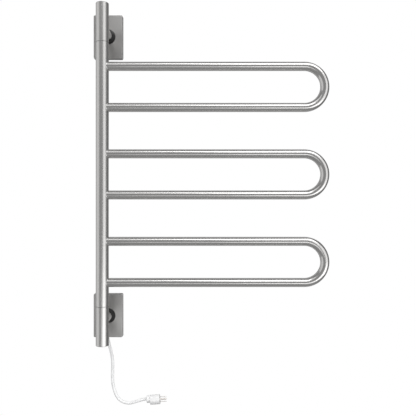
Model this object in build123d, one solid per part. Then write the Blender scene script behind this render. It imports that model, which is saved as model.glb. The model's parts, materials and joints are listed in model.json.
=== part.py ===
"""Wall-mounted swivelling towel warmer: a hollow post with three heated loops, on two wall brackets.

Frame: the wall is the plane y = 0 and +Y points into it, +Z is up, and the loops point to +X.
The origin is on the wall, midway between the two brackets. Everything is in millimetres.
"""

import os
from math import asin, cos, degrees, radians, sin, tan

from build123d import *

# Overall layout
bracket_spacing = 731.0  # between the centres of the two wall brackets
wall_to_axis = 88.9  # from the wall to the swivel axis
seam_to_bracket = 38.5  # from a bracket's centre in to the swivel seam
end_to_bracket = 59.0  # from a bracket's centre out to the end of the post
seam_gap = 1.0  # open line between the swivel post and a fixed end tube

# Swivelling rack
post_od = 31.75
post_wall = 1.5
loop_count = 3
loop_pitch = 217.0
bar_spacing = 102.0  # between the two bars of one loop, centre to centre
bar_od = 22.2
bar_wall = 1.2
reach = 563.0  # from the swivel axis to the outside of a loop's bend
wire_hole = 14.0  # through the post's wall into each bar

# Wall brackets
plate_width = 66.0
plate_height = 104.0
plate_thick = 2.5
plate_corner = 3.0
wall_hole = 5.5
wall_hole_dx = 50.0
wall_hole_dz = 84.0
standoff_od = 22.2
standoff_wall = 1.5
spigot_length = 22.0
spigot_bore = 11.0
slip = 0.05  # radial clearance of a tube on its spigot
stud_screw = 5.0  # grub screw that locks a standoff on its spigot
stud_screw_y = 8.0  # its distance from the wall
stud_screw_length = 5.0
screw_inset = 0.1  # a grub screw's end sits this far inside the tube it is in

# Swivel joint
journal_grip = 20.0  # length of the journal inside the fixed end tube
stem_od = 20.0
stem_length = 30.5
journal_bore = 10.0
journal_screw = 4.0
journal_screw_length = 5.0
journal_screw_spread = 40.0  # degrees each side of the wall direction
journal_screw_inset = 0.2  # its outer end below the tube's outside
screw_hole_overlap = 1.0  # a screw's hole starts this far inside the tube's bore
bush_length = 24.0
running_clearance = 0.05
washer_thick = 0.85
washer_inset = 0.6  # the washer's rim sits this far inside the post's outside
washer_clearance = 0.3  # radial, between the washer's bore and the stem
stop_pin = 3.0
stop_pin_reach = 13.2  # radius of the pin's outer end
stop_pin_back = 3.0  # from the stem's tip to the pin
stop_pin_inset = 0.2  # the pin's inner end outside the journal's bore
stop_collar_height = 4.4
stop_lug_clearance = 0.4  # radial, between the lug and the stem
stop_rim_clearance = 0.3  # radial, between the collar's rim and the pin's end
stop_clearance = 1.5  # degrees between the pin and the lug at each end of the swing
swing = 180.0

# End caps
cap_thick = 3.0
end_chamfer = 1.0

# Cover boxes that slide on the standoffs
cover_width = 76.0
cover_height = 114.0
cover_depth = 14.0
cover_wall = 1.2
cover_corner = 3.5
cover_edge = 1.1
cover_lift = 0.3  # between the cover's rim and the wall
collar_base = standoff_od + 16.8
collar_front = standoff_od + 2.8
collar_neck = standoff_od + 4.8  # the part of the collar that passes through the cover
collar_rise = 10.0
collar_rim = 0.8  # straight rim at the foot of the collar's cone
collar_lip = 0.4  # radial flat at the cone's front end
collar_catch = 1.5  # the neck's length behind the cover's front wall
collar_bore_clearance = 0.1
grip_ring_thick = 2.0
grip_ring_clearance = 0.03  # radial, on the standoff
grip_ring_room = 0.15  # the groove is this much shallower than the ring is thick
grip_ring_at = 2.5  # the groove's distance in front of the cover's face

# Electrical parts
lead_od = 5.0
heater_od = 4.6
wire_od = 3.2
heater_x = 3.2
return_x = -3.2
heater_turn = 9.0  # its bend radius inside the post
heater_crown = 1.0  # short straight of the cable at each loop's crown
splice_od = 5.2
splice_length = 12.0
cable_tail = 3.0  # straight end of the heating cable after its last turn
cutout_od = 9.0
cutout_length = 28.0
cutout_round = 1.0
lead_hole = 8.5
lead_split = 0.35  # open length in the lead at the swivel seam, each side
lead_step = (0.8, 4.0)  # the supply lead's first run from the clamp, sideways and up
lead_rise = 10.0  # the supply lead starts straight this far below the standoff
lead_bends = (3.0, 5.0, 5.0, 10.0)  # its bend radii on the way to the swivel seam
earth_at = (16.0, -30.5)
earth_screw = 4.0
earth_head = (7.6, 2.2)  # diameter and height
screw_tip_inset = 0.2  # a bracket screw's tip in front of the wall
tag_thick = 0.8
tag_ring = 8.0
tag_tongue = (8.0, 3.6)  # length and width
tag_tongue_x = -6.0
tag_barrel = (5.0, 3.2)  # length and diameter of the crimp
tag_barrel_x = -14.0

# Power cord, its strain relief and clamp block
cord_od = 7.8
relief_tilt = 0.27  # sideways run of the relief for each unit down
relief_cross = (-3.9, -6.8)  # where its axis crosses the cover's bottom edge
relief_root = 10.4
relief_tip = 9.0
relief_neck = 8.4  # inside the clamp block
clamp_width = 21.0
clamp_depth = 9.4
clamp_height = 10.0
clamp_top = 33.5  # below the bracket's centre
clamp_screw = 2.5
clamp_screw_dx = 16.0
clamp_head = (4.5, 0.6)  # diameter and height
cord_notch_clearance = 0.65
plate_notch_clearance = 1.5  # each side of the relief, in the backplate's edge

# The cord's route from the relief's tip to the plug, chosen by hand: corners of straight runs,
# with heights from the lower bracket's centre
cord_corners = [
    (1.4, -6.8, -76.5),
    (4.6, -7.0, -88.0),
    (8.3, -7.5, -102.5),
    (10.9, -8.4, -118.5),
    (11.6, -9.6, -135.5),
    (11.0, -11.0, -152.5),
    (11.2, -12.4, -167.5),
    (13.0, -13.5, -181.9),
    (16.8, -14.3, -195.8),
    (21.5, -14.8, -208.8),
    (30.0, -15.0, -220.1),
    (41.4, -15.1, -227.0),
    (55.2, -15.0, -229.4),
    (68.6, -14.9, -226.7),
    (81.2, -15.1, -222.5),
    (92.4, -15.0, -219.3),
    (102.3, -15.0, -217.5),
]

# Plug: three pins, blades one above the other, earth pin on the side away from the wall
plug_tilt = 4.0
plug_roll = 20.0  # about its axis, so that its wide front face looks a little upwards
plug_drop = 3.5  # from the cord's end down to the plug's axis
plug_neck = (9.0, 23.0, 19.5)
plug_neck_rise = 2.4  # from the plug's axis up to the neck's centre
plug_head = (25.0, 25.0, 24.5)
plug_neck_round = 5.0
plug_head_round = 6.0
plug_head_chamfer = 1.5
blade_spacing = 12.7
blade = (16.5, 6.35, 1.5)
blade_seat = 8.0
pins_shift = 4.5  # from the plug's axis to the blades' line, towards the wall
earth_pin_shift = 11.9
earth_pin_od = 4.8
earth_pin_length = 18.5
earth_pin_round = 1.6

# Worked out from the values above
post_id = post_od - 2 * post_wall
bar_id = bar_od - 2 * bar_wall
standoff_id = standoff_od - 2 * standoff_wall
bracket_z = bracket_spacing / 2
seam_z = bracket_z - seam_to_bracket
post_end_z = bracket_z + end_to_bracket
post_top = seam_z - seam_gap / 2
tube_start = seam_z + seam_gap / 2
bend_radius = bar_spacing / 2
bend_x = reach - bar_od / 2 - bend_radius
spigot_od = standoff_id - 2 * slip
stop_pin_z = tube_start - stem_length + stop_pin_back
collar_groove_at = cover_depth + grip_ring_at
cover_bottom = -bracket_z - cover_height / 2
clamp_middle = -bracket_z - clamp_top - clamp_height / 2
relief_root_z = -bracket_z - clamp_top - clamp_height
cord_route = [(x, y, z - bracket_z) for x, y, z in cord_corners]
relief_tip_z = cord_route[0][2]

sides = (("upper", 1), ("lower", -1))
low_z = (Align.CENTER, Align.CENTER, Align.MIN)
on_axis = Pos(0, -wall_to_axis, 0)


def rod(diameter, start, length):
    """A round bar along +Z, standing at height start on the z axis."""
    return Pos(0, 0, start) * Cylinder(diameter / 2, length, align=low_z)


def pipe(outer, inner, start, length):
    """A round tube along +Z, standing at height start on the z axis."""
    return rod(outer, start, length) - rod(inner, start, length)


def rod_to_room(diameter, near, far):
    """A round bar along Y through the z axis, from y = -near to y = -far."""
    return Rot(90, 0, 0) * rod(diameter, near, far - near)


def rounded_block(width, height, corner, near, far):
    """A plate in X and Z with round corners, from y = -near to y = -far."""
    outline = Plane.XZ.offset(near) * RectangleRounded(width, height, corner)
    return extrude(outline, far - near)


def at_side(shape, side):
    """The upper copy as it is, or the lower copy, which is its mirror image."""
    return shape if side > 0 else mirror(shape, about=Plane.XY)


def swept_tube(points, radii, diameter):
    """A round tube along straight runs joined by arcs."""
    path = FilletPolyline(*points, radius=radii)
    start = Plane(origin=path @ 0, z_dir=path % 0)
    return sweep(start * Circle(diameter / 2), path=path)


def widest_radii(points):
    """The largest arc that each corner's two runs leave room for."""
    corners = [Vector(*p) for p in points]
    radii = []
    for before, here, after in zip(corners, corners[1:], corners[2:]):
        turn = radians((here - before).get_angle(after - here))
        shorter = min((here - before).length, (after - here).length)
        radii.append(0.45 * shorter / tan(turn / 2))
    return radii


def save(shape, node):
    """Writes one node's STEP file."""
    export_step(shape, f"parts/{node}.step")


# Swivelling rack: hollow post, looped bars and what they hold


def bar_heights():
    """The height of each bar's centre, loop by loop from the bottom up, as (lower, upper) pairs."""
    middle = (loop_count - 1) / 2
    centres = [(n - middle) * loop_pitch for n in range(loop_count)]
    return [(z - bend_radius, z + bend_radius) for z in centres]


def swivel_post():
    tube = pipe(post_od, post_id, -post_top, 2 * post_top)
    for pair in bar_heights():
        for z in pair:
            tube -= Pos(0, 0, z) * Rot(0, 90, 0) * rod(wire_hole, 0, post_od)
    return on_axis * tube


def loop(lower, upper):
    """One U of tube, its two ends coped to the post's outside."""
    middle = (lower + upper) / 2
    bars = []
    for z in (lower, upper):
        bars.append(Pos(0, 0, z) * Rot(0, 90, 0) * pipe(bar_od, bar_id, 0, bend_x))
    ring = Circle(bar_od / 2) - Circle(bar_id / 2)
    end = Plane(origin=(bend_x, 0, upper), z_dir=(1, 0, 0)) * ring
    bend = revolve(end, axis=Axis((bend_x, 0, middle), (0, 1, 0)), revolution_arc=180)
    whole = bars[0] + bend + bars[1]
    whole -= rod(post_od, lower - bar_od, upper - lower + 2 * bar_od)
    return on_axis * whole


def heating_cable():
    """One cable threaded through every loop, turning inside the post between them."""
    pairs = bar_heights()
    far = bend_x + bend_radius
    crown = bend_radius - heater_crown / 2
    start = pairs[0][0] - heater_turn - cable_tail
    points = [(heater_x, 0, start)]
    radii = []
    for lower, upper in pairs:
        points += [(heater_x, 0, lower), (far, 0, lower), (far, 0, upper), (heater_x, 0, upper)]
        radii += [heater_turn, crown, crown, heater_turn]
    top = pairs[-1][1]
    points[-1] = (return_x, 0, top)
    points.append((return_x, 0, top - heater_turn - cable_tail))
    return on_axis * swept_tube(points, radii, heater_od)


heater_low = bar_heights()[0][0] - heater_turn - cable_tail
heater_high = bar_heights()[-1][1] - heater_turn - cable_tail


def splices():
    """Three crimped splices: supply to heater, supply to return lead, heater to return lead."""
    places = [
        (heater_x, heater_low - splice_length),
        (return_x, heater_low - splice_length),
        (return_x, heater_high - splice_length),
    ]
    bars = [on_axis * Pos(x, 0, 0) * rod(splice_od, z, splice_length) for x, z in places]
    return Compound(children=bars)


def return_leads():
    """The return wire in its two lengths, above and below the thermal cut-out."""
    above = rod(wire_od, cutout_length / 2, heater_high - splice_length - cutout_length / 2)
    below = rod(wire_od, heater_low, -cutout_length / 2 - heater_low)
    return on_axis * Pos(return_x, 0, 0) * above, on_axis * Pos(return_x, 0, 0) * below


def thermal_cutout():
    body = rod(cutout_od, -cutout_length / 2, cutout_length)
    return on_axis * Pos(return_x, 0, 0) * fillet(body.edges(), cutout_round)


def rack_lead():
    """The supply lead's upper length, from the seam up through the lower journal to the splices."""
    start = -seam_z + lead_split
    return on_axis * rod(lead_od, start, heater_low - splice_length - start)


# Swivel joint, as the upper one; the lower one is its mirror image


def journal(side):
    body = rod(post_id, tube_start, journal_grip) + rod(stem_od, tube_start - stem_length, stem_length)
    body -= rod(journal_bore, tube_start - stem_length, stem_length + journal_grip)
    if side > 0:
        body -= Pos(0, 0, stop_pin_z) * Rot(-90, 0, 0) * rod(stop_pin, 0, stem_od)
    for hole in journal_screw_bars(post_id / 2 - journal_screw_length + post_wall):
        body -= hole
    return on_axis * at_side(body, side)


def journal_screw_bars(inner):
    """The two grub screws' bodies, from the given radius out to the tube's outside."""
    bars = []
    for sign in (-1, 1):
        turn = Rot(0, 0, sign * journal_screw_spread)
        bar = rod(journal_screw, inner, post_od / 2 - journal_screw_inset - inner)
        bars.append(turn * Pos(0, 0, tube_start + journal_grip / 2) * Rot(-90, 0, 0) * bar)
    return bars


def journal_screws():
    inner = post_id / 2 - journal_screw_length + post_wall
    bars = [on_axis * at_side(bar, side) for _, side in sides for bar in journal_screw_bars(inner)]
    return Compound(children=bars)


def stop_pin_part():
    inner = journal_bore / 2 + stop_pin_inset
    pin = rod(stop_pin, inner, stop_pin_reach - inner)
    return on_axis * Pos(0, 0, stop_pin_z) * Rot(-90, 0, 0) * pin


def stop_collar():
    """A ring in the post with a lug that meets the pin at each end of the swing."""
    low = stop_pin_z - stop_collar_height / 2
    lug_inner = stem_od / 2 + stop_lug_clearance
    pin_half = degrees(asin(stop_pin / 2 / lug_inner))
    lug_angle = 360 - swing - 2 * pin_half - 2 * stop_clearance
    rim_inner = stop_pin_reach + stop_rim_clearance
    ring = pipe(post_id, 2 * rim_inner, low, stop_collar_height)
    far = 2 * post_od
    half = radians(lug_angle / 2)
    edge_x, edge_y = far * cos(half), far * sin(half)
    sector = Polygon((0, 0), (edge_x, -edge_y), (far, 0), (edge_x, edge_y), align=None)
    wedge = Pos(0, 0, low) * extrude(sector, stop_collar_height)
    lug = pipe(post_id, 2 * lug_inner, low, stop_collar_height) & wedge
    return on_axis * (ring + lug)


def bush(side):
    outer = pipe(post_id, stem_od + 2 * running_clearance, post_top - bush_length, bush_length)
    return on_axis * at_side(outer, side)


def thrust_washer(side):
    bore = stem_od + 2 * washer_clearance
    ring = pipe(post_od - 2 * washer_inset, bore, post_top, washer_thick)
    return on_axis * at_side(ring, side)


# Wall brackets


def end_tube(side):
    tube = pipe(post_od, post_id, tube_start, post_end_z - tube_start)
    outside = tube.edges().filter_by(GeomType.CIRCLE).group_by(Axis.Z)[-1].sort_by(SortBy.RADIUS)[-1]
    tube = chamfer(outside, end_chamfer)
    tube -= Pos(0, 0, bracket_z) * Rot(-90, 0, 0) * rod(wire_hole, 0, post_od)
    for screw in journal_screw_bars(post_id / 2 - screw_hole_overlap):
        tube -= screw
    return on_axis * at_side(tube, side)


def end_cap(side):
    disc = rod(post_id, post_end_z - cap_thick, cap_thick)
    return on_axis * at_side(disc, side)


def standoff(side):
    tube = rod_to_room(standoff_od, plate_thick, wall_to_axis)
    tube -= rod_to_room(standoff_id, plate_thick, wall_to_axis)
    tube -= Pos(0, -wall_to_axis, 0) * rod(post_od, -standoff_od, 2 * standoff_od)
    tube -= Pos(0, -stud_screw_y, -standoff_od) * rod(stud_screw, 0, standoff_od)
    if side < 0:
        tube -= Pos(0, -stud_screw_y, 0) * rod(lead_hole, 0, standoff_od)
    return at_side(Pos(0, 0, bracket_z) * tube, side)


def backplate(side):
    plate = rounded_block(plate_width, plate_height, plate_corner, 0, plate_thick)
    plate += rod_to_room(spigot_od, plate_thick, plate_thick + spigot_length)
    plate -= rod_to_room(spigot_bore, 0, plate_thick + spigot_length)
    for x in (-wall_hole_dx / 2, wall_hole_dx / 2):
        for z in (-wall_hole_dz / 2, wall_hole_dz / 2):
            plate -= Pos(x, 0, z) * rod_to_room(wall_hole, 0, plate_thick)
    plate -= Pos(0, -stud_screw_y, -spigot_od) * rod(stud_screw, 0, spigot_od)
    if side < 0:
        plate -= Pos(0, -stud_screw_y, 0) * rod(lead_hole, 0, spigot_od)
    plate = at_side(Pos(0, 0, bracket_z) * plate, side)
    if side < 0:
        plate -= lower_plate_cuts()
    return plate


def lower_plate_cuts():
    """The open notch under the cord clamp, the clamp's screw holes and the earth screw's hole."""
    bottom = -bracket_z - plate_height / 2
    notch_height = relief_root_z - bottom
    middle = (bottom + relief_root_z) / 2
    notch_width = relief_root + 2 * relief_tilt * notch_height + 2 * plate_notch_clearance
    cuts = Pos(relief_x(middle), -plate_thick / 2, middle)
    cuts *= Box(notch_width, 2 * plate_thick, notch_height)
    for x, z in clamp_screw_places():
        cuts += Pos(x, 0, z) * rod_to_room(clamp_screw, 0, plate_thick)
    return cuts + earth_place() * rod_to_room(earth_screw, 0, plate_thick)


def standoff_screws():
    """The two grub screws that lock the standoffs on their spigots, on the facing sides."""
    outer = standoff_od / 2 - screw_inset
    bar = Pos(0, -stud_screw_y, bracket_z) * rod(stud_screw, -outer, stud_screw_length)
    return Compound(children=[at_side(bar, side) for _, side in sides])


# Cover boxes, collars and grip rings


def cover(side):
    box = rounded_block(cover_width, cover_height, cover_corner, cover_lift, cover_depth)
    box = fillet(box.faces().sort_by(Axis.Y)[0].edges(), cover_edge)
    inner_width = cover_width - 2 * cover_wall
    inner_height = cover_height - 2 * cover_wall
    box -= rounded_block(inner_width, inner_height, cover_corner - cover_wall, 0, cover_depth - cover_wall)
    box -= rod_to_room(collar_neck, 0, cover_depth)
    box = at_side(Pos(0, 0, bracket_z) * box, side)
    if side < 0:
        box -= cord_notch()
    return box


def cord_notch():
    """A U cut in the lower cover's bottom wall, open towards the wall."""
    radius = relief_radius(cover_bottom) + cord_notch_clearance
    x, y = relief_cross
    cut = Pos(x, y, cover_bottom - cover_wall) * rod(2 * radius, 0, 3 * cover_wall)
    return cut + Pos(x, y / 2, cover_bottom + cover_wall / 2) * Box(2 * radius, -y, 3 * cover_wall)


def collar(side):
    """A conical ring on the cover's face, with a neck through the cover and a groove for the grip ring."""
    back = cover_depth - cover_wall - collar_catch
    front = cover_depth + collar_rise
    bore = standoff_od / 2 + collar_bore_clearance
    groove = bore + grip_ring_thick - grip_ring_room
    profile = make_face(
        Polyline(
            (bore, back),
            (collar_neck / 2, back),
            (collar_neck / 2, cover_depth),
            (collar_base / 2, cover_depth),
            (collar_base / 2, cover_depth + collar_rim),
            (collar_front / 2 + collar_lip, front),
            (bore, front),
            (bore, collar_groove_at + grip_ring_thick),
            (groove, collar_groove_at + grip_ring_thick),
            (groove, collar_groove_at),
            (bore, collar_groove_at),
            close=True,
        )
    )
    ring = revolve(Plane.XZ * profile, axis=Axis.Z)
    return at_side(Pos(0, 0, bracket_z) * Rot(90, 0, 0) * ring, side)


def grip_ring(side):
    """A square-section rubber ring in the collar's groove that rubs on the standoff."""
    inner = standoff_od + 2 * grip_ring_clearance
    outer = standoff_od + 2 * (collar_bore_clearance + grip_ring_thick - grip_ring_room)
    near = collar_groove_at
    far = near + grip_ring_thick
    ring = rod_to_room(outer, near, far) - rod_to_room(inner, near, far)
    return at_side(Pos(0, 0, bracket_z) * ring, side)


# Cord entry at the lower bracket


def relief_x(z):
    """Where the strain relief's axis is in X at a height."""
    return relief_cross[0] + relief_tilt * (cover_bottom - z)


def relief_radius(z):
    """The strain relief's radius at a height: it tapers evenly from its root to its tip."""
    share = (relief_root_z - z) / (relief_root_z - relief_tip_z)
    return (relief_root + (relief_tip - relief_root) * share) / 2


def relief_place(z):
    """The relief's tilted frame at a height, with its own +Z down along the cord."""
    return Plane(origin=(relief_x(z), relief_cross[1], z), z_dir=(relief_tilt, 0, -1))


def relief_neck_rod():
    """The round rod along the relief's axis that fills the clamp block's bore."""
    return relief_place(clamp_middle) * Cylinder(relief_neck / 2, 3 * clamp_height)


def strain_relief():
    """A cone below the clamp block and a neck through it, cut level at the block's two faces."""
    length = (relief_root_z - relief_tip_z) * (1 + relief_tilt**2) ** 0.5
    start = -relief_tilt * relief_root
    root, tip = relief_root / 2, relief_tip / 2
    outline = Polyline((0, start), (root, start), (root, 0), (tip, length), (0, length), close=True)
    taper = revolve(make_face(Plane.XZ * outline), axis=Axis.Z)
    block = Pos(relief_x(clamp_middle), relief_cross[1], clamp_middle)
    neck = relief_neck_rod() & block * Box(clamp_width, clamp_width, clamp_height)
    above = Pos(0, 0, clamp_height / 2) * block * Box(clamp_width, clamp_width, 2 * clamp_height)
    return (relief_place(relief_root_z) * taper - above) + neck


def clamp_screw_places():
    middle = relief_x(clamp_middle)
    return [(middle - clamp_screw_dx / 2, clamp_middle), (middle + clamp_screw_dx / 2, clamp_middle)]


def cord_clamp():
    place = Pos(relief_x(clamp_middle), -plate_thick - clamp_depth / 2, clamp_middle)
    block = place * Box(clamp_width, clamp_depth, clamp_height) - relief_neck_rod()
    for x, z in clamp_screw_places():
        block -= Pos(x, 0, z) * rod_to_room(clamp_screw, plate_thick, plate_thick + clamp_depth)
    return block


def clamp_screws():
    """Two screws through the clamp block into the backplate, with low round heads."""
    length = plate_thick + clamp_depth
    screws = []
    for x, z in clamp_screw_places():
        shank = rod_to_room(clamp_screw, screw_tip_inset, length)
        head = rod_to_room(clamp_head[0], length, length + clamp_head[1])
        screws.append(Pos(x, 0, z) * (shank + head))
    return Compound(children=screws)


def supply_lead():
    """From the clamp up into the standoff, out to the post's axis and up to the swivel seam."""
    start_z = -bracket_z - clamp_top
    points = [
        (relief_x(start_z), relief_cross[1], start_z),
        (relief_x(start_z) + lead_step[0], relief_cross[1], start_z + lead_step[1]),
        (0, -stud_screw_y, -bracket_z - standoff_od / 2 - lead_rise),
        (0, -stud_screw_y, -bracket_z),
        (0, -wall_to_axis, -bracket_z),
        (0, -wall_to_axis, -seam_z - lead_split),
    ]
    return swept_tube(points, lead_bends, lead_od)


def earth_place():
    return Pos(earth_at[0], 0, -bracket_z + earth_at[1])


def earth_screw_part():
    face = plate_thick + tag_thick
    screw = rod_to_room(earth_screw, screw_tip_inset, face)
    return earth_place() * (screw + rod_to_room(earth_head[0], face, face + earth_head[1]))


def earth_tag():
    """A ring tag under the earth screw's head, its tongue and the crimp that holds its wire."""
    face = plate_thick + tag_thick
    ring = rod_to_room(tag_ring, plate_thick, face)
    tongue = Pos(tag_tongue_x, -plate_thick - tag_thick / 2, 0)
    tongue *= Box(tag_tongue[0], tag_thick, tag_tongue[1])
    length, diameter = tag_barrel
    barrel = Pos(tag_barrel_x, -plate_thick - diameter / 2, 0)
    barrel *= Rot(0, 90, 0) * rod(diameter, 0, length)
    return earth_place() * (ring + tongue + barrel - rod_to_room(earth_screw, 0, 2 * face))


# Cord and plug


def plug_place():
    """The plug's frame: +X along its axis, just below the cord's end, tilted up and rolled."""
    turn = Rot(0, -plug_tilt, 0) * Rot(-plug_roll, 0, 0)
    return Pos(*cord_route[-1]) * turn * Pos(0, 0, -plug_drop)


def plug_blade_bars(depth):
    """The two blades' bodies, seated the given depth in the plug."""
    length = blade[0] + depth
    x = plug_neck[0] + plug_head[0] + blade[0] - length / 2
    one = Pos(x, pins_shift, 0) * Box(length, blade[1], blade[2])
    return [Pos(0, 0, sign * blade_spacing / 2) * one for sign in (-1, 1)]


def plug_earth_bar():
    place = Pos(plug_neck[0] + plug_head[0] - blade_seat, pins_shift - earth_pin_shift, 0)
    return place * Rot(0, 90, 0) * rod(earth_pin_od, 0, blade_seat + earth_pin_length)


def plug_body():
    middle = pins_shift - earth_pin_shift / 2
    neck = Pos(plug_neck[0] / 2, middle, plug_neck_rise) * Box(*plug_neck)
    neck = fillet(neck.edges().filter_by(Axis.X), plug_neck_round)
    head = Pos(plug_neck[0] + plug_head[0] / 2, middle, 0) * Box(*plug_head)
    head = fillet(head.edges().filter_by(Axis.X), plug_head_round)
    head = chamfer(head.faces().sort_by(Axis.X)[0].edges(), plug_head_chamfer)
    body = neck + head
    for bar in [*plug_blade_bars(blade_seat), plug_earth_bar()]:
        body -= bar
    return plug_place() * body


def plug_blades():
    return Compound(children=[plug_place() * bar for bar in plug_blade_bars(blade_seat)])


def plug_earth_pin():
    pin = plug_earth_bar()
    tip = pin.faces().sort_by(Axis.X)[-1]
    return plug_place() * fillet(tip.edges(), earth_pin_round)


def power_cord():
    radii = widest_radii(cord_route)
    cord = swept_tube(cord_route, radii, cord_od)
    path = FilletPolyline(*cord_route, radius=radii)
    whole = Circle(cord_od / 2).area * path.length
    print("cord radii", [round(r, 1) for r in radii])
    print("cord length", round(path.length, 1), "volume share", round(cord.volume / whole, 4))
    return cord


def build():
    os.makedirs("parts", exist_ok=True)
    save(swivel_post(), "swivel_post")
    loop_names = ["loop_bottom", "loop_middle", "loop_top"]
    for name, (lower, upper) in zip(loop_names, bar_heights()):
        save(loop(lower, upper), name)
    save(heating_cable(), "heating_cable")
    save(splices(), "splices")
    above, below = return_leads()
    save(above, "return_lead_upper")
    save(below, "return_lead_lower")
    save(thermal_cutout(), "thermal_cutout")
    save(rack_lead(), "rack_lead")
    save(stop_collar(), "stop_collar")
    save(stop_pin_part(), "stop_pin")
    save(journal_screws(), "journal_screws")
    save(standoff_screws(), "standoff_screws")
    for name, side in sides:
        save(bush(side), f"swivel_bush_{name}")
        save(thrust_washer(side), f"thrust_washer_{name}")
        save(journal(side), f"journal_{name}")
        save(end_tube(side), f"end_tube_{name}")
        save(end_cap(side), f"end_cap_{name}")
        save(standoff(side), f"standoff_{name}")
        save(backplate(side), f"backplate_{name}")
        save(cover(side), f"cover_{name}")
        save(collar(side), f"collar_{name}")
        save(grip_ring(side), f"grip_ring_{name}")
    save(strain_relief(), "strain_relief")
    save(cord_clamp(), "cord_clamp")
    save(clamp_screws(), "clamp_screws")
    save(supply_lead(), "supply_lead")
    save(earth_screw_part(), "earth_screw")
    save(earth_tag(), "earth_tag")
    save(power_cord(), "power_cord")
    save(plug_body(), "plug_body")
    save(plug_blades(), "plug_blades")
    save(plug_earth_pin(), "plug_earth_pin")


build()
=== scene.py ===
import json
from math import cos, pi, radians, sin, tan

import bmesh
import bpy
import numpy as np
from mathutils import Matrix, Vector

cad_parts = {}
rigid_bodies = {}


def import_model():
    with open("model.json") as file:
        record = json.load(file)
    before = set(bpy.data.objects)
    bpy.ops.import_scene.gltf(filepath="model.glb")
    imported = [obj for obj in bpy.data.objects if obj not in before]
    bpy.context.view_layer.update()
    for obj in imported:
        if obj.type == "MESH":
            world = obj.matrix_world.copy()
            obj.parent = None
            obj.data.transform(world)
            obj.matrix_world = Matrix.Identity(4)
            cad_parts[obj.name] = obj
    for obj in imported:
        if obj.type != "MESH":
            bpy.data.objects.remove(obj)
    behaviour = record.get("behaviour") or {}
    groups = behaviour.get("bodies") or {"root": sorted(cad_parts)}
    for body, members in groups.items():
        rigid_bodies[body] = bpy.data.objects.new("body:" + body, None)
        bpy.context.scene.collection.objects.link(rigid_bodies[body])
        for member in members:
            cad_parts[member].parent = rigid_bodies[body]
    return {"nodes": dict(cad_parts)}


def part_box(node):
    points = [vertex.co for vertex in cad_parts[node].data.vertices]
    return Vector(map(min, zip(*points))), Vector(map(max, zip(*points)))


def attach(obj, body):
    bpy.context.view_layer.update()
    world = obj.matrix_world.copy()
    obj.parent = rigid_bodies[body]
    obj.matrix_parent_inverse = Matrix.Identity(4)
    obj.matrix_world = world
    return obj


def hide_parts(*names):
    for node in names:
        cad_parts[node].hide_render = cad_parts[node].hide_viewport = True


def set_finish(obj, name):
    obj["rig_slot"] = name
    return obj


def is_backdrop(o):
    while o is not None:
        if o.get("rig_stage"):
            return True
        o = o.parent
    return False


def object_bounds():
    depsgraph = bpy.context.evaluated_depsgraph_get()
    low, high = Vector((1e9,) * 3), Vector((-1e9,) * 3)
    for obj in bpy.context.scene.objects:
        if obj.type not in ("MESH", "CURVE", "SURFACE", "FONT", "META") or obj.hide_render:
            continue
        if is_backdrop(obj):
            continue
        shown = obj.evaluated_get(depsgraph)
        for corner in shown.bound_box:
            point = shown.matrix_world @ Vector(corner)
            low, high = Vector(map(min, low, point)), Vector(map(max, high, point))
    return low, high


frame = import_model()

# Wall-mounted swivelling towel warmer, in metres. The wall is the plane y = 0 and +Y points into it,
# +Z is up and +X is the side that the loops point to.

mm = 0.001
scene = bpy.context.scene
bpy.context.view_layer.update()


def boxOf(node):
    low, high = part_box(node)
    return np.array(low), np.array(high)


# places that the CAD nodes give
postLow, postHigh = boxOf("swivel_post")
postRadius = (postHigh[0] - postLow[0]) / 2
axisY = (postHigh[1] + postLow[1]) / 2
bracketZ = {}
for side in ("upper", "lower"):
    low, high = boxOf("standoff_" + side)
    bracketZ[side] = (low[2] + high[2]) / 2
print("frame loaded:", len(frame["nodes"]), "nodes")


# camera, level and square to the wall

camera = {"place": (0.2622, -1.384, -0.0833), "lens": 45.19, "sensor": 36.0}


def addCamera():
    data = bpy.data.cameras.new("camera")
    data.lens = camera["lens"]
    data.sensor_width = camera["sensor"]
    piece = bpy.data.objects.new("camera", data)
    piece.location = camera["place"]
    piece.rotation_euler = (pi / 2, 0, 0)
    scene.collection.objects.link(piece)
    scene.camera = piece


addCamera()
print("camera placed")


# mesh helpers


def finishMesh(name, mesh, body, sharp=34):
    # doubles merged, faces turned outwards, smooth shading with its edges sharp above an angle
    bm = bmesh.new()
    bm.from_mesh(mesh)
    bmesh.ops.remove_doubles(bm, verts=bm.verts, dist=0.001 * mm)
    bmesh.ops.recalc_face_normals(bm, faces=bm.faces)
    bm.to_mesh(mesh)
    bm.free()
    mesh.shade_smooth()
    mesh.set_sharp_from_angle(angle=radians(sharp))
    piece = bpy.data.objects.new(name, mesh)
    scene.collection.objects.link(piece)
    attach(piece, body)
    return piece


def gridMesh(name, points, wrapRows=True, flow=None):
    # points[i, j] is point j of ring i, and each ring is closed. The rings join end to start when
    # wrapRows. flow holds the distance along at each ring and round the ring at each point, one more
    # value each than the faces have rows and columns, and becomes the UV map.
    rows, cols = points.shape[:2]
    faceRows = rows if wrapRows else rows - 1
    i, j = np.meshgrid(np.arange(faceRows), np.arange(cols), indexing="ij")
    nextI, nextJ = (i + 1) % rows, (j + 1) % cols
    quads = np.stack([i * cols + j, nextI * cols + j, nextI * cols + nextJ, i * cols + nextJ], axis=-1)
    mesh = bpy.data.meshes.new(name)
    mesh.from_pydata(points.reshape(-1, 3).tolist(), [], quads.reshape(-1, 4).tolist())
    if flow is not None:
        along, around = np.asarray(flow[0]), np.asarray(flow[1])
        corners = [(i, j), (i + 1, j), (i + 1, j + 1), (i, j + 1)]
        uv = np.stack([np.stack([around[b], along[a]], axis=-1) for a, b in corners], axis=2)
        mesh.uv_layers.new(name="flow").data.foreach_set("uv", uv.reshape(-1))
    return mesh


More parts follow.
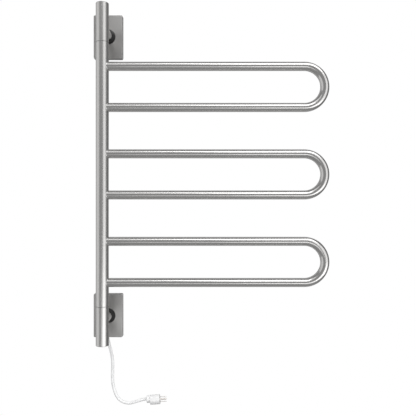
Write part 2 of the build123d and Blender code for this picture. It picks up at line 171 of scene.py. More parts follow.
def addMesh(name, parts, body, slot, replaced, sharp=34):
    # several closed shells become one piece, which stands for the CAD nodes named
    bm = bmesh.new()
    for part in parts:
        bm.from_mesh(part)
    mesh = bpy.data.meshes.new(name)
    bm.to_mesh(mesh)
    bm.free()
    piece = finishMesh(name, mesh, body, sharp)
    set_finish(piece, slot)
    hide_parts(*replaced)
    return piece


def angles(count):
    return np.arange(count) * 2 * pi / count


def arcPoints(centerR, centerH, radius, first, last, steps):
    # points on an arc in the (r, h) half-plane, angles in degrees from +r towards +h
    a = np.radians(np.linspace(first, last, steps + 1))
    return np.stack([centerR + radius * np.cos(a), centerH + radius * np.sin(a)], axis=-1)


def pathLength(profile):
    # distance along a profile at each of its points, and back to its start
    loop = np.vstack([profile, profile[:1]])
    return np.concatenate([[0], np.cumsum(np.hypot(*np.diff(loop, axis=0).T))])


def turned(name, profile, count, place, wrapRows=True):
    # surface of revolution: (r, h) on the profile becomes (r cos a, r sin a, h), then it is placed
    profile = np.asarray(profile, float)
    a = angles(count)
    r, h = profile[:, :1], profile[:, 1:]
    points = np.stack(np.broadcast_arrays(r * np.cos(a), r * np.sin(a), h + 0 * a), axis=-1)
    flow = pathLength(profile), np.arange(count + 1) * 2 * pi * profile[:, 0].max() / count
    return gridMesh(name, place(points), wrapRows, flow)


def tubeProfile(outer, inner, low, high, edge):
    # a tube's wall as a closed loop of (r, h), with small rounds on its four edges
    flat = 3 * edge
    return np.vstack(
        [
            [(outer, low + flat), (outer, high - flat)],
            arcPoints(outer - edge, high - edge, edge, 0, 90, 4),
            arcPoints(inner + edge, high - edge, edge, 90, 180, 4),
            [(inner, high - flat), (inner, low + flat)],
            arcPoints(inner + edge, low + edge, edge, 180, 270, 4),
            arcPoints(outer - edge, low + edge, edge, 270, 360, 4),
        ]
    )


def onAxis(points):
    return points + np.array([0, axisY, 0])


def towardsRoom(x, z):
    # a lathe's own axis turned to point along -Y, from the wall at the given place
    def place(points):
        px, py, pz = points[..., 0], points[..., 1], points[..., 2]
        return np.stack([px + x, -pz, py + z], axis=-1)

    return place


# cord, from the strain relief's tip to the plug: corners with heights from the lower bracket's centre

cord = {
    "diameter": 7.8 * mm,
    "length": 0.223,
    "corners": [
        (0.0014, -0.0068, -0.0765),
        (0.0046, -0.0070, -0.0880),
        (0.0083, -0.0075, -0.1025),
        (0.0109, -0.0084, -0.1185),
        (0.0116, -0.0096, -0.1355),
        (0.0110, -0.0110, -0.1525),
        (0.0112, -0.0124, -0.1675),
        (0.0130, -0.0135, -0.1819),
        (0.0168, -0.0143, -0.1958),
        (0.0215, -0.0148, -0.2088),
        (0.0300, -0.0150, -0.2201),
        (0.0414, -0.0151, -0.2270),
        (0.0552, -0.0150, -0.2294),
        (0.0686, -0.0149, -0.2267),
        (0.0812, -0.0151, -0.2225),
        (0.0924, -0.0150, -0.2193),
        (0.1023, -0.0150, -0.2175),
    ],
}
cordRoute = np.array(cord["corners"]) + np.array([0, 0, bracketZ["lower"]])


def addCord():
    data = bpy.data.curves.new("powerCord", "CURVE")
    data.dimensions = "3D"
    data.resolution_u = 16
    data.bevel_depth = 1.0  # times each point's radius, so that the curve's box stays close round it
    data.bevel_resolution = 8
    data.use_fill_caps = True
    spline = data.splines.new("NURBS")
    spline.points.add(len(cordRoute) - 1)
    for point, corner in zip(spline.points, cordRoute):
        point.co = (*corner, 1)
        point.radius = cord["diameter"] / 2
    spline.order_u = 3
    spline.use_endpoint_u = True
    piece = bpy.data.objects.new("powerCord", data)
    scene.collection.objects.link(piece)
    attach(piece, "wall_side")
    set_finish(piece, "cord_vinyl")
    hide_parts("power_cord")
    return piece


# strain relief: a taper with ring grooves along a tilted axis, and the neck that the clamp holds

relief = {
    "root": 10.4 * mm / 2,
    "tip": 9.0 * mm / 2,
    "neck": 8.4 * mm / 2,
    "tilt": 0.27,
    "rootBelow": 43.5 * mm,  # the clamp block's bottom face, below the bracket's centre
    "neckLength": 9.0 * mm,
    "collar": 5.0 * mm,
    "grooves": 6,
    "grooveDepth": 0.75 * mm,
    "firstGroove": 8.5 * mm,
    "tipRound": 0.8 * mm,
}


def reliefProfile():
    # (r, h) with h down the cord: radius tapers evenly, and each groove dips as a raised cosine
    v = relief
    length = (-cordRoute[0][2] + bracketZ["lower"] - v["rootBelow"]) * (1 + v["tilt"] ** 2) ** 0.5
    grooveEnd = length - 2.5 * mm
    h = np.linspace(v["collar"], length - v["tipRound"], 121)
    r = v["root"] + (v["tip"] - v["root"]) * h / length
    phase = (h - v["firstGroove"]) / (grooveEnd - v["firstGroove"]) * v["grooves"]
    wave = np.clip(0.5 - 1.3 * np.cos(2 * pi * phase), 0, 1)
    r -= v["grooveDepth"] * wave * ((phase > 0) & (phase < v["grooves"]))
    end = arcPoints(v["tip"] - v["tipRound"], length - v["tipRound"], v["tipRound"], 0, 90, 4)
    neck = [(0, -v["neckLength"]), (v["neck"], -v["neckLength"]), (v["neck"], 0), (v["root"] - 0.3 * mm, 0)]
    start = [(v["root"], 0.3 * mm), (v["root"] - 0.02 * mm, v["collar"] - 0.2 * mm)]
    return np.vstack([neck, start, np.stack([r, h], axis=-1), end, [(0, length)]])


def alongRelief(points):
    # the lathe's axis runs from the clamp's bottom face to the cord's start
    v = relief
    down = np.array([v["tilt"], 0, -1]) / (1 + v["tilt"] ** 2) ** 0.5
    across = np.array([0, 1.0, 0])
    other = np.cross(down, across)
    rootZ = bracketZ["lower"] - v["rootBelow"]
    root = np.array([cordRoute[0][0] - v["tilt"] * (rootZ - cordRoute[0][2]), cordRoute[0][1], rootZ])
    return root + points @ np.stack([across, other, down])


def addRelief():
    shell = turned("cordRelief", reliefProfile(), 64, alongRelief, wrapRows=False)
    return addMesh("cordRelief", [shell], "wall_side", "white_vinyl", ["strain_relief"], sharp=50)


# plug: a moulded body with a flatter neck, two blades and an earth pin

plug = {
    "tilt": radians(4),
    "roll": radians(20),
    "drop": 3.5 * mm,
    "neck": (9.0 * mm, 23.0 * mm, 19.5 * mm),
    "neckRise": 2.4 * mm,
    "neckCut": 5.6 * mm,
    "head": (25.0 * mm, 25.0 * mm, 24.5 * mm),
    "headY": -1.45 * mm,
    "headCut": 6.2 * mm,
    "bladeY": 4.5 * mm,
    "bladeSpacing": 12.7 * mm,
    "blade": (16.5 * mm, 6.35 * mm, 1.5 * mm),
    "pinY": -7.4 * mm,
    "pinRadius": 2.4 * mm,
    "pinLength": 18.5 * mm,
}


def alongPlug(points):
    # the plug's own X axis starts a little below the cord's end, rolled to face up, then tilted up
    x, y, z = points[..., 0], points[..., 1], points[..., 2] - plug["drop"]
    c, s = cos(plug["roll"]), sin(plug["roll"])
    y, z = y * c + z * s, z * c - y * s
    c, s = cos(plug["tilt"]), sin(plug["tilt"])
    return np.stack([x * c - z * s, y, x * s + z * c], axis=-1) + cordRoute[-1]


def cutBoxRings(stations, count, sharpness=14):
    # rings across X of a box with cut corners, softened: (w cos a, h sin a) times
    # (|cos a|^n + |sin a|^n + ((w |cos a| + h |sin a|) / (w + h - cut))^n)^(-1/n), from
    # stations of (x, half width w, half height h, centre y, centre z, cut, share), share 0 a pole
    x, w, h, y, z, cut, share = np.array(stations, float).T[:, :, None]
    a = angles(count)
    c, s = np.abs(np.cos(a)), np.abs(np.sin(a))
    total = c**sharpness + s**sharpness + ((w * c + h * s) / (w + h - cut)) ** sharpness
    k = share * total ** (-1 / sharpness)
    return np.stack([x + 0 * a, y + k * w * np.cos(a), z + k * h * np.sin(a)], axis=-1)


def plugStations():
    v = plug
    neckLong, neckWide, neckTall = v["neck"]
    headLong, headWide, headTall = v["head"]
    w, h, rise = neckWide / 2, neckTall / 2, v["neckRise"]
    hw, hh, hy = headWide / 2, headTall / 2, v["headY"]
    end = neckLong + headLong
    neckRound, headRound, faceRound = 1.2 * mm, 1.4 * mm, 0.9 * mm

    def neckAt(x, inset, share=1.0):
        return (x, w - inset, h - inset, hy, rise, v["neckCut"], share)

    def headAt(x, inset, share=1.0):
        return (x, hw - inset, hh - inset, hy, 0, v["headCut"] - 0.5 * inset, share)

    quarter = np.linspace(0, pi / 2, 6)
    stations = [neckAt(0, neckRound, 0), neckAt(0, neckRound)]
    stations += [neckAt(neckRound * (1 - cos(t)), neckRound * (1 - sin(t))) for t in quarter[1:]]
    for x in np.linspace(0.25, 0.9, 6):
        stations.append(neckAt(neckLong * x, 0.35 * mm * sin(pi * (x - 0.25) / 0.65)))
    stations += [neckAt(neckLong, 0)]
    stations += [headAt(neckLong + headRound * (1 - cos(t)), headRound * (1 - sin(t))) for t in quarter]
    stations += [headAt(neckLong + x * headLong, 0) for x in (0.2, 0.5, 0.9)]
    stations += [headAt(end - faceRound * (1 - sin(t)), faceRound * (1 - cos(t))) for t in quarter]
    return stations + [headAt(end, faceRound, 0)]


def bladeMesh(z):
    v = plug
    long, wide, thick = v["blade"]
    start = v["neck"][0] + v["head"][0] - 0.5 * mm
    end = v["neck"][0] + v["head"][0] + long
    w, t = wide / 2, thick / 2
    nose = [(-1.7, 0, 0), (-1.0, 0.05, 0.04), (-0.5, 0.45, 0.14), (-0.15, 1.1, 0.32), (0, 1.5, 0.45)]
    stations = [(start, w, t, v["bladeY"], z, 0.2 * mm, share) for share in (0, 1)]
    for x, inset, thin in nose:
        stations.append((end + x * mm, w - inset * mm, t - thin * mm, v["bladeY"], z, 0.2 * mm, 1))
    stations += [(*stations[-1][:-1], 0)]
    return gridMesh("blade", alongPlug(cutBoxRings(stations, 48)), wrapRows=False)


def earthPinMesh():
    v = plug
    start = v["neck"][0] + v["head"][0] - 0.5 * mm
    end = v["neck"][0] + v["head"][0] + v["pinLength"]
    r = v["pinRadius"]
    nose = np.radians(np.linspace(0, 90, 9))
    profile = [(0, start), (r, start), (r, start + 0.3 * mm), (r, end - 1.5 * r)]
    profile += [(r * cos(t) ** 0.8, end - 1.2 * r + 1.2 * r * sin(t)) for t in nose[:-1]]
    profile.append((0, end))

    def place(points):
        x, y, z = points[..., 0], points[..., 1], points[..., 2]
        return alongPlug(np.stack([z, x + v["pinY"], y], axis=-1))

    return turned("pin", profile, 48, place, wrapRows=False)


def addPlug():
    body = gridMesh("plugShell", alongPlug(cutBoxRings(plugStations(), 160)), wrapRows=False)
    shell = addMesh("plugShell", [body], "wall_side", "white_vinyl", ["plug_body"], sharp=35)
    half = plug["bladeSpacing"] / 2
    pair = [bladeMesh(-half), bladeMesh(half)]
    blades = addMesh("plugBladesFormed", pair, "wall_side", "plated_brass", ["plug_blades"])
    pin = addMesh("plugEarthPinFormed", [earthPinMesh()], "wall_side", "plated_brass", ["plug_earth_pin"])
    return [shell, blades, pin]


powerCord = addCord()
cordPieces = [addRelief(), *addPlug()]
print("cord, strain relief and plug made")


# swivelling post

post = {"wall": 1.5 * mm, "edge": 0.12 * mm, "sides": 128}


def addPost():
    v = post
    profile = tubeProfile(postRadius, postRadius - v["wall"], postLow[2], postHigh[2], v["edge"])
    shell = turned("postTube", profile, v["sides"], onAxis)
    return addMesh("postTube", [shell], "rack", "brushed_post", ["swivel_post"])


# looped bars, coped to the post with a small weld fillet

loops = {"wall": 1.2 * mm, "fillet": 0.6 * mm, "sides": 72, "bendSteps": 72, "sink": 0.05 * mm}


def loopMesh(node):
    v = loops
    low, high = boxOf(node)
    r = (high[1] - low[1]) / 2
    bend = (high[2] - low[2]) / 2 - r
    middle = (high[2] + low[2]) / 2
    bendX = high[0] - r - bend
    a = angles(v["sides"])

    # weld fillet: at angle t the bar grows by f (1 - sin t), at f (1 - cos t) from the post
    t = np.radians(np.linspace(0, 90, 7))
    grow = np.concatenate([v["fillet"] * (1 - np.sin(t)), [0, 0, 0]])
    away = np.concatenate([v["fillet"] * (1 - np.cos(t)), [2 * mm, 5 * mm, 9 * mm]])
    straight = np.linspace(postRadius + 16 * mm, bendX, 12)
    turn = np.linspace(-90, 90, v["bendSteps"] + 1)[1:-1]

    def half(radius, z, outward):
        # rings of one straight bar from the post: x = sqrt(R^2 - (r sin a)^2) + distance from it
        rr = (radius + grow)[:, None]
        x = np.sqrt(postRadius**2 - (rr * np.sin(a)) ** 2) + away[:, None] - v["sink"]
        x = np.vstack([x, straight[:, None] + 0 * a])
        rr = np.vstack([rr, np.full((len(straight), 1), radius)])
        return np.stack(np.broadcast_arrays(x, rr * np.sin(a), z + outward * rr * np.cos(a)), axis=-1)

    def skin(radius):
        # the lower bar, the half turn and the upper bar, as rings along one U
        b = np.radians(turn)[:, None]
        reach = bend + radius * np.cos(a)
        x, z = bendX + reach * np.cos(b), middle + reach * np.sin(b)
        around = np.stack([x, radius * np.sin(a) + 0 * b, z], axis=-1)
        lower, upper = half(radius, middle - bend, -1), half(radius, middle + bend, 1)
        return np.concatenate([lower, around, upper[::-1]])

    outer = skin(r)
    inner = skin(r - v["wall"])
    points = np.concatenate([outer, inner[::-1]])
    middleLine = outer.mean(axis=1)
    along = np.concatenate([[0], np.cumsum(np.linalg.norm(np.diff(middleLine, axis=0), axis=1))])
    flow = np.concatenate([along, along[::-1], [0]]), np.arange(v["sides"] + 1) * 2 * pi * r / v["sides"]
    return gridMesh(node, onAxis(points), True, flow)


def addLoops():
    for level in ("bottom", "middle", "top"):
        node = "loop_" + level
        addMesh(level + "LoopTube", [loopMesh(node)], "rack", "polished_bar", [node])


# standoffs, coped to the end tubes with a weld fillet

standoff = {"wall": 1.5 * mm, "fillet": 0.7 * mm, "sides": 96, "edge": 0.25 * mm}


def standoffMesh(side):
    v = standoff
    low, high = boxOf("standoff_" + side)
    r = (high[0] - low[0]) / 2
    a = angles(v["sides"])
    t = np.radians(np.linspace(0, 90, 7))
    grow = np.concatenate([v["fillet"] * (1 - np.sin(t)), [0, 0]])[::-1]
    away = np.concatenate([v["fillet"] * (1 - np.cos(t)), [2 * mm, 6 * mm]])[::-1]

    def skin(radius, edge):
        # rings from the plate to the post: at angle a the tube meets it at x = r cos a
        rr = (radius + grow)[:, None]
        y = axisY + np.sqrt(postRadius**2 - (rr * np.cos(a)) ** 2) + away[:, None]
        start = arcPoints(radius - edge, high[1] - edge, edge, 90, 0, 3) if edge else [(radius, high[1])]
        near = np.vstack([start, [(radius, high[1] - 1 * mm), (radius, high[1] - 30 * mm)]])
        y = np.vstack([near[:, 1:] + 0 * a, y])
        rr = np.vstack([near[:, :1], rr])
        x, y, z = np.broadcast_arrays(rr * np.cos(a), y, bracketZ[side] + rr * np.sin(a))
        return np.stack([x, y, z], axis=-1)

    outer = skin(r, v["edge"])
    inner = skin(r - v["wall"], 0)
    points = np.concatenate([outer, inner[::-1]])
    middleLine = outer[:, :, 1].mean(axis=1)
    inside = inner[::-1, :, 1].mean(axis=1)
    along = -np.concatenate([middleLine, inside, middleLine[:1]])
    around = np.arange(v["sides"] + 1) * 2 * pi * r / v["sides"]
    return gridMesh("standoff", points, True, (along, around))


def addStandoffs():
    for side in ("upper", "lower"):
        name = "standoff_" + side
        addMesh(side + "StandoffTube", [standoffMesh(side)], "wall_side", "brushed_standoff", [name])


# cover boxes: an outline carried from the collar's hole over the face, round the edge and back inside

cover = {
    "corner": 3.5 * mm,
    "edge": 1.1 * mm,
    "wall": 1.2 * mm,
    "hole": 13.5 * mm,
    "rimRound": 0.2 * mm,
    "notch": {"x": -3.9 * mm, "y": -6.8 * mm, "radius": 5.57 * mm},
}


def coverOutline(halfWide, halfTall, inset, side):
    # a round-cornered box in (x, z), inset by a distance, its points at the same places on each side
    v = cover
    c = v["corner"]
    corner = max(c - inset, 0.05 * mm)
    straightX = np.linspace(-1, 1, 15)[1:-1] * (halfWide - c)
    straightZ = np.linspace(-1, 1, 21)[1:-1] * (halfTall - c)
    bottomX = straightX
    if side == "lower":
        n = v["notch"]
        inNotch = n["x"] + n["radius"] * np.sin(np.radians(np.linspace(-90, 90, 25)))
        sides = n["x"] + (n["radius"] + 0.01 * mm) * np.array([-1, 1])
        away = straightX[np.abs(straightX - n["x"]) > n["radius"] + 1 * mm]
        bottomX = np.sort(np.concatenate([away, inNotch, sides]))
    w, t = halfWide - inset, halfTall - inset
    runs = []
    for sx, sz, first in ((1, 1, 0), (-1, 1, 90), (-1, -1, 180), (1, -1, 270)):
        b = np.radians(np.linspace(first, first + 90, 9))
        x = sx * (halfWide - c) + corner * np.cos(b) + sx * (c - inset - corner)
        z = sz * (halfTall - c) + corner * np.sin(b) + sz * (c - inset - corner)
        runs.append(np.stack([x, z], axis=-1))
        if first == 0:
            runs.append(np.stack([straightX[::-1], t + 0 * straightX], axis=-1))
        elif first == 90:
            runs.append(np.stack([-w + 0 * straightZ, straightZ[::-1]], axis=-1))
        elif first == 180:
            runs.append(np.stack([bottomX, -t + 0 * bottomX], axis=-1))
        else:
            runs.append(np.stack([w + 0 * straightZ, straightZ], axis=-1))
    return np.concatenate(runs)


def coverMesh(side):
    v = cover
    low, high = boxOf("cover_" + side)
    halfWide, halfTall = (high[0] - low[0]) / 2, (high[2] - low[2]) / 2
    front, rim = low[1], high[1]
    e, wall = v["edge"], v["wall"]

    def ringAt(inset, y, holeShare=0.0, hole=v["hole"]):
        # holeShare moves the outline in towards the hole's circle, along lines from the axis
        xz = coverOutline(halfWide, halfTall, inset, side)
        a = np.arctan2(xz[:, 1], xz[:, 0])
        circle = np.stack([hole * np.cos(a), hole * np.sin(a)], axis=-1)
        xz = xz + (circle - xz) * holeShare
        y = np.broadcast_to(y, len(xz))
        return np.stack([xz[:, 0], y, xz[:, 1] + bracketZ[side]], axis=-1)

    def rimAt(offset):
        # the rim's depth at each point: the wall's side, or the notch's U in the lower cover
        xz = coverOutline(halfWide, halfTall, 0, side)
        y = np.full(len(xz), rim - offset)
        if side == "lower":
            n = v["notch"]
            dx = xz[:, 0] - n["x"]
            inside = (xz[:, 1] < -halfTall + 0.1 * mm) & (np.abs(dx) < n["radius"] + 0.001 * mm)
            y[inside] = n["y"] - np.sqrt(np.clip(n["radius"] ** 2 - dx[inside] ** 2, 0, None))
        return y

    rows = [ringAt(e + 0.3 * mm, front, share) for share in (1.0, 0.985, 0.8, 0.6, 0.4, 0.2, 0.02, 0.0)]
    for t in np.radians(np.linspace(0, 90, 8)):
        rows.append(ringAt(e - e * sin(t), front + e - e * cos(t)))
    rows.append(ringAt(0, front + e + 0.3 * mm))
    small = v["rimRound"]
    rows.append(ringAt(0, rimAt(2 * small)))
    rows.append(ringAt(0, rimAt(small)))
    rows.append(ringAt(small, rimAt(0)))
    rows.append(ringAt(wall - small, rimAt(0)))
    rows.append(ringAt(wall, rimAt(small)))
    rows.append(ringAt(wall, front + wall + 0.5 * mm))
    rows.append(ringAt(wall, front + wall))
    rows += [ringAt(wall + 0.3 * mm, front + wall, share) for share in (0.0, 0.5, 0.985, 1.0)]
    return gridMesh("cover", np.array(rows), True)


def addCovers():
    for side in ("upper", "lower"):
        addMesh(side + "CoverShell", [coverMesh(side)], side + "_cover", "brushed_cover", ["cover_" + side])


# collars: a cone with a rounded lip, its neck through the cover and the grip ring's groove inside

collar = {
    "bore": 11.2 * mm,
    "neck": 13.5 * mm,
    "base": 19.5 * mm,
    "lip": 12.9 * mm,
    "back": 11.3 * mm,
    "face": 14.0 * mm,
    "rim": 0.8 * mm,
    "front": 24.0 * mm,
    "groove": 13.05 * mm,
    "grooveAt": 16.5 * mm,
    "grooveWide": 2.0 * mm,
    "crown": 0.35 * mm,
}


def collarProfile():
    # (r, h) with h out from the wall: the cone bulges by a sine over its length
    v = collar
    share = np.linspace(0, 1, 17)
    footR, footH = v["base"] - 0.25 * mm, v["face"] + v["rim"]
    topR, topH = v["lip"] + 0.1 * mm, v["front"] - 0.7 * mm
    cone = np.stack([footR + (topR - footR) * share, footH + (topH - footH) * share], axis=-1)
    across = np.array([topH - footH, footR - topR]) / np.hypot(topH - footH, footR - topR)
    cone += v["crown"] * np.sin(pi * share)[:, None] * across
    lip = arcPoints(v["lip"] - 0.55 * mm, v["front"] - 0.6 * mm, 0.6 * mm, 25, 90, 5)
    return np.vstack(
        [
            [(v["neck"], v["back"]), (v["neck"], v["face"]), (v["base"] - 0.2 * mm, v["face"])],
            [(v["base"], v["face"] + 0.2 * mm), (v["base"], v["face"] + v["rim"] - 0.3 * mm)],
            cone,
            lip,
            arcPoints(v["bore"] + 0.3 * mm, v["front"] - 0.3 * mm, 0.3 * mm, 90, 180, 3),
            [(v["bore"], v["grooveAt"] + v["grooveWide"]), (v["groove"], v["grooveAt"] + v["grooveWide"])],
            [(v["groove"], v["grooveAt"]), (v["bore"], v["grooveAt"]), (v["bore"], v["back"])],
        ]
    )


def addCollars():
    for side in ("upper", "lower"):
        shell = turned("collar", collarProfile(), 112, towardsRoom(0, bracketZ[side]))
        addMesh(side + "CollarCone", [shell], side + "_cover", "black_collar", ["collar_" + side])


# screws: a turned body whose head dips into a cross or hexagon recess


def recessRadius(kind, size, a):
    # cross: the arm's half width over sin, cut at its length; hexagon: its apothem over cos
    if kind == "cross":
        d = np.abs((a + pi / 4) % (pi / 2) - pi / 4)
        arm = 0.24 * size
        return np.minimum(size / np.cos(d), arm / np.maximum(np.sin(d), 0.01))
    d = (a + pi / 6) % (pi / 3) - pi / 6
    return size / np.cos(d)


def screwMesh(shank, length, head, headHeight, kind, place):
    # head None makes a grub screw. Rows go from the tip to the head, then down its recess
    a = angles(72)
    top = length + headHeight
    outer = head if head else shank
    size = 0.42 * outer if kind == "hexagon" else 0.6 * outer
    depth = 0.9 * headHeight + 0.35 * shank
    soft = 0.12 * outer
    rows = [(0, 0), (0.7 * shank, 0), (shank, 0.25 * shank), (shank, length if head else top - soft)]
    if head:
        rows += [(head, length), (head, top - 1.2 * soft)]
    rows += [tuple(p) for p in arcPoints(outer - soft, top - soft, soft, 0, 90, 4)]
    r = np.array([row[0] for row in rows])[:, None] + 0 * a
    h = np.array([row[1] for row in rows])[:, None] + 0 * a
    hole = recessRadius(kind, size, a)
    r = np.vstack([r, hole + 0.04 * outer, hole, 0.82 * hole, 0 * a])
    heights = np.array([top, top - 0.04 * outer, top - depth, top - 1.15 * depth])
    h = np.vstack([h, heights[:, None] + 0 * a])
    points = np.stack([r * np.cos(a), r * np.sin(a), h], axis=-1)
    return gridMesh("screw", place(points), wrapRows=False)


bracketScrews = {
    "clamp": {"shank": 1.25 * mm, "tip": 0.2 * mm, "face": 11.9 * mm, "head": 2.25 * mm, "tall": 0.6 * mm},
    "earth": {"shank": 2.0 * mm, "tip": 0.2 * mm, "face": 3.3 * mm, "head": 3.8 * mm, "tall": 2.2 * mm},
    "grubRadius": 2.0 * mm,
    "grubLength": 4.8 * mm,
    "grubSpread": radians(40),
    "studRadius": 2.5 * mm,
    "studLength": 5.0 * mm,
    "studY": -8.0 * mm,
    "bevel": 0.3 * mm,
}


def addScrews():
    v = bracketScrews

    def headed(spec, x, z):
        put = towardsRoom(x, z)

        def place(points):
            return put(points + np.array([0, 0, spec["tip"]]))

        long = spec["face"] - spec["tip"]
        return screwMesh(spec["shank"], long, spec["head"], spec["tall"], "cross", place)

    low, high = boxOf("clamp_screws")
    z = (low[2] + high[2]) / 2
    half = v["clamp"]["head"]
    pair = [headed(v["clamp"], low[0] + half, z), headed(v["clamp"], high[0] - half, z)]
    addMesh("clampScrewPair", pair, "wall_side", "screw_steel", ["clamp_screws"])
    low, high = boxOf("earth_screw")
    x, z = (low[0] + high[0]) / 2, (low[2] + high[2]) / 2
    addMesh("earthScrewHead", [headed(v["earth"], x, z)], "wall_side", "brass", ["earth_screw"])

    def grub(kind, place):
        radius, long = v[kind + "Radius"], v[kind + "Length"]
        return screwMesh(radius, long - v["bevel"], None, v["bevel"], "hexagon", place)

    def journalGrub(z, turn):
        # its axis points out of the end tube, turned off the wall's side
        out = np.array([sin(turn), cos(turn), 0])
        across = np.array([cos(turn), -sin(turn), 0])
        start = np.array([0, axisY, z]) + out * (postRadius - 0.2 * mm - v["grubLength"])
        axes = np.stack([across, np.cross(out, across), out])
        return grub("grub", lambda points: start + points @ axes)

    def standoffGrub(z, up):
        # its axis points along Z, towards the other bracket
        def place(points):
            x, y, along = points[..., 0], points[..., 1], points[..., 2]
            return np.stack([x, v["studY"] + up * y, z + up * along], axis=-1)

        return grub("stud", place)

    low, high = boxOf("journal_screws")
    grubs = []
    for z in (low[2] + v["grubRadius"], high[2] - v["grubRadius"]):
        grubs += [journalGrub(z, turn) for turn in (-v["grubSpread"], v["grubSpread"])]
    addMesh("journalGrubScrews", grubs, "wall_side", "screw_steel", ["journal_screws"])
    low, high = boxOf("standoff_screws")
    studs = [standoffGrub(high[2], -1), standoffGrub(low[2], 1)]
    addMesh("standoffGrubScrews", studs, "wall_side", "screw_steel", ["standoff_screws"])


addPost()
addLoops()
print("post and loops made")
addStandoffs()
addCovers()
addCollars()
addScrews()
print("standoffs, covers, collars and screws made")


# materials, each reading Object coordinates or its piece's own UV map


def addNode(tree, kind, inputs, **settings):
    node = tree.nodes.new(kind)
    for key, value in settings.items():
        setattr(node, key, value)
    for key, value in inputs.items():
        if isinstance(value, bpy.types.NodeSocket):
            tree.links.new(value, node.inputs[key])
        else:
            node.inputs[key].default_value = value
    return node


def newMaterial(name, **constants):
    material = bpy.data.materials.new(name)
    material.use_nodes = True
    tree = material.node_tree
    shader = tree.nodes["Principled BSDF"]
    for key, value in constants.items():
        shader.inputs[key.replace("_", " ")].default_value = value
    return material, tree, shader


def shifted(tree, value, low, high):
    # a 0 to 1 value moved to the range low to high
    limits = {"Value": value, "To Min": low, "To Max": high}
    return addNode(tree, "ShaderNodeMapRange", limits).outputs[0]


def tinted(tree, color, factor, spread):
    # the colour, darker and lighter by the given share as the factor goes from 0 to 1
    dark = [c * (1 - spread) for c in color] + [1]
    light = [min(c * (1 + spread), 1) for c in color] + [1]
    mix = tree.nodes.new("ShaderNodeMix")
    mix.data_type = "RGBA"
    tree.links.new(factor, mix.inputs[0])
    mix.inputs[6].default_value = dark
    mix.inputs[7].default_value = light
    return mix.outputs[2]


def grainNoise(tree, vector, detail, roughness=0.55):
    inputs = {"Vector": vector, "Scale": 1.0, "Detail": detail, "Roughness": roughness}
    return addNode(tree, "ShaderNodeTexNoise", inputs).outputs["Fac"]


def scaled(tree, source, scale, location=(0, 0, 0)):
    inputs = {"Vector": source, "Location": location, "Scale": scale}
    return addNode(tree, "ShaderNodeMapping", inputs, vector_type="POINT").outputs[0]


def objectPlaces(tree):
    return addNode(tree, "ShaderNodeTexCoord", {}).outputs["Object"]


def brushedMetal(name, spec):
    # grain: fine streaks that set tint, roughness and a shallow bump, over slow cloudy variation
    material, tree, shader = newMaterial(name, Metallic=1.0, Anisotropic=spec["stretch"])
    shader.inputs["Anisotropic Rotation"].default_value = spec.get("turn", 0.0)
    places = objectPlaces(tree)
    if spec["tangent"] == "flow":
        tangent = addNode(tree, "ShaderNodeTangent", {}, direction_type="UV_MAP", uv_map="flow")
        source = addNode(tree, "ShaderNodeUVMap", {}, uv_map="flow").outputs[0]
    else:
        tangent = addNode(tree, "ShaderNodeTangent", {}, direction_type="RADIAL", axis=spec["tangent"])
        source = places
    tree.links.new(tangent.outputs[0], shader.inputs["Tangent"])
    if "center" in spec:
        vector = circularPlaces(tree, places, spec)
    else:
        vector = scaled(tree, source, spec["grain"])
    streaks = grainNoise(tree, vector, 4.0, 0.6)
    clouds = grainNoise(tree, scaled(tree, places, (spec["clouds"],) * 3), 2.0)
    blend = addNode(tree, "ShaderNodeMath", {0: streaks, 1: 0.65}, operation="MULTIPLY").outputs[0]
    sums = {0: clouds, 1: 0.35, 2: blend}
    blend = addNode(tree, "ShaderNodeMath", sums, operation="MULTIPLY_ADD").outputs[0]
    tree.links.new(tinted(tree, spec["color"], blend, spec["tint"]), shader.inputs["Base Color"])
    rough = shifted(tree, blend, spec["rough"] - spec["spread"], spec["rough"] + spec["spread"])
    if "sideRough" in spec:
        rough = smootherSides(tree, rough, spec["sideRough"])
    tree.links.new(rough, shader.inputs["Roughness"])
    bump = {"Height": streaks, "Strength": spec["bump"], "Distance": 0.03 * mm}
    tree.links.new(addNode(tree, "ShaderNodeBump", bump).outputs[0], shader.inputs["Normal"])
    return material


def smootherSides(tree, rough, sideRough):
    # the face's roughness where the surface faces +-Y, and the sides' where it is square to that
    facing = addNode(tree, "ShaderNodeTexCoord", {}).outputs["Normal"]
    y = addNode(tree, "ShaderNodeSeparateXYZ", {"Vector": facing}).outputs["Y"]
    y = addNode(tree, "ShaderNodeMath", {0: y}, operation="ABSOLUTE").outputs[0]
    limits = {"Value": y, "From Min": 0.3, "From Max": 0.8, "To Min": sideRough, "To Max": rough}
    return addNode(tree, "ShaderNodeMapRange", limits).outputs[0]


def circularPlaces(tree, places, spec):
    # rings about an axis along Y: (x, z) / r times a little, with the radius times a lot
    flat = addNode(
        tree, "ShaderNodeVectorMath", {0: scaled(tree, places, (1, 1, 1), spec["center"]), 1: (1, 0, 1)},
        operation="MULTIPLY",
    ).outputs[0]
    radius = addNode(tree, "ShaderNodeVectorMath", {0: flat}, operation="LENGTH").outputs["Value"]
    around = addNode(tree, "ShaderNodeVectorMath", {0: flat}, operation="NORMALIZE").outputs[0]
    factors = {0: radius, 1: spec["grain"][0]}
    rings = addNode(tree, "ShaderNodeMath", factors, operation="MULTIPLY").outputs[0]
    up = addNode(tree, "ShaderNodeCombineXYZ", {"Y": rings}).outputs[0]
    sweep = (spec["grain"][1],) * 3
    return addNode(
        tree, "ShaderNodeVectorMath", {0: around, 1: sweep, 2: up}, operation="MULTIPLY_ADD"
    ).outputs[0]


